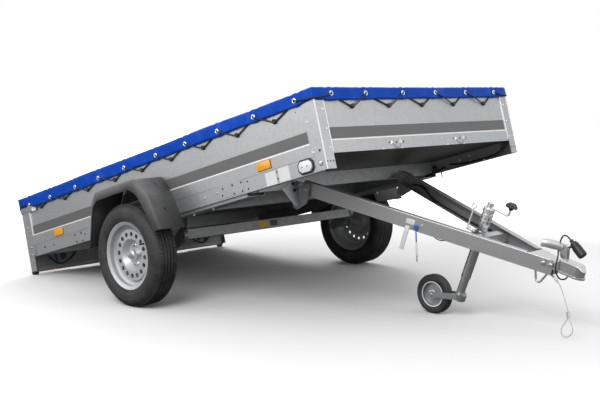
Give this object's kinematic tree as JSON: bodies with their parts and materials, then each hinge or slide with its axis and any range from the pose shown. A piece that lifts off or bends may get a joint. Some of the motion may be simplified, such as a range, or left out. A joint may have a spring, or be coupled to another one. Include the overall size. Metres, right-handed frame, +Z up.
{
  "type": "utility trailer",
  "caption": "Tipping box trailer with a flat cover, parked nose-up on tail feet, road wheels and a jockey wheel under its A-frame drawbar.",
  "frame": {"origin": "middle of the overall length and width, at the ground", "axes": "+X towards the coupling, +Y to the trailer's left, +Z up"},
  "size_m": [3.4699, 1.97, 1.1406],
  "materials": {
    "galvanised": "satin hot-dip galvanised",
    "plywood": "dark brown film-faced plywood",
    "tarpaulin": "blue PVC-coated tarpaulin",
    "tyre": "black rubber",
    "silver_steel": "silver paint",
    "zinc_steel": "bright zinc plate",
    "axle_steel": "dull galvanised",
    "black_plastic": "black",
    "guard_plastic": "dark grey",
    "amber_plastic": "amber",
    "red_plastic": "red",
    "clear_plastic": "clear",
    "grey_rubber": "black rubber",
    "cable": "black sheath",
    "rope": "thin steel rope in a clear sheath"
  },
  "bodies": {
    "box": {"side_wall_left": "galvanised", "side_wall_right": "galvanised", "front_wall": "galvanised", "side_rail_left": "galvanised", "side_rail_right": "galvanised", "rail_plates": "galvanised", "front_posts": "galvanised", "rear_posts": "galvanised", "floor_panel": "plywood", "cross_members": "galvanised", "rear_sill": "galvanised", "rear_lamp_beam": "galvanised", "tail_lamps": "red_plastic", "tail_feet": "grey_rubber", "side_reflectors": "amber_plastic", "marker_lamps": "clear_plastic", "gate_latches": "zinc_steel", "tarp_cover": "tarpaulin", "axle_beam": "axle_steel", "swing_arm_left": "axle_steel", "swing_arm_right": "axle_steel", "axle_brackets": "galvanised", "axle_carriers": "galvanised", "mudguard_left": "guard_plastic", "mudguard_right": "guard_plastic", "hinge_brackets": "galvanised"},
    "wheel_left": {"tyre_left": "tyre", "rim_left": "silver_steel"},
    "wheel_right": {"tyre_right": "tyre", "rim_right": "silver_steel"},
    "tailgate": {"tailgate": "galvanised", "tarp_rear_flap": "tarpaulin"},
    "drawbar": {"drawbar_beam_left": "galvanised", "drawbar_beam_right": "galvanised", "coupling_head": "zinc_steel", "coupling_handle": "zinc_steel", "coupling_foot": "zinc_steel", "jockey_crossbar": "galvanised", "jockey_clamp": "zinc_steel", "clamp_handle": "zinc_steel", "jockey_tube": "zinc_steel", "jockey_winder": "zinc_steel", "crank_knob": "black_plastic", "plug": "black_plastic", "plug_holder": "black_plastic", "power_cable": "cable", "thin_cable": "cable", "breakaway_rope": "rope", "rope_ferrules": "zinc_steel"},
    "jockey_leg": {"jockey_leg": "zinc_steel"},
    "jockey_fork": {"jockey_fork": "zinc_steel"},
    "jockey_wheel": {"jockey_tyre": "tyre", "jockey_rim": "zinc_steel"}
  },
  "joints": [
    {"name": "wheel_left_spin", "type": "hinge", "parent": "box", "child": "wheel_left", "pos_m": [-0.37966, 0.891, 0.2735], "axis": [0, 1, 0], "continuous": true},
    {"name": "wheel_right_spin", "type": "hinge", "parent": "box", "child": "wheel_right", "pos_m": [-0.37966, -0.891, 0.2735], "axis": [0, 1, 0], "continuous": true},
    {"name": "drawbar_tilt", "type": "hinge", "parent": "box", "child": "drawbar", "pos_m": [0.41988, 0, 0.63225], "axis": [0, -1, 0], "range_deg": [0, 30.24]},
    {"name": "tailgate_hinge", "type": "hinge", "parent": "box", "child": "tailgate", "pos_m": [-1.64702, 0, 0.18632], "axis": [0, -1, 0], "range_deg": [0, 150]},
    {"name": "jockey_leg_slide", "type": "slide", "parent": "drawbar", "child": "jockey_leg", "axis": [-0.3535, 0, -0.9354], "range_m": [-0.08, 0.15]},
    {"name": "jockey_swivel", "type": "hinge", "parent": "jockey_leg", "child": "jockey_fork", "pos_m": [1.05412, 0, 0.09273], "axis": [0.3535, 0, 0.9354], "continuous": true},
    {"name": "jockey_wheel_spin", "type": "hinge", "parent": "jockey_fork", "child": "jockey_wheel", "pos_m": [0.91042, 0, 0.1], "axis": [0, 1, 0], "continuous": true}
  ]
}
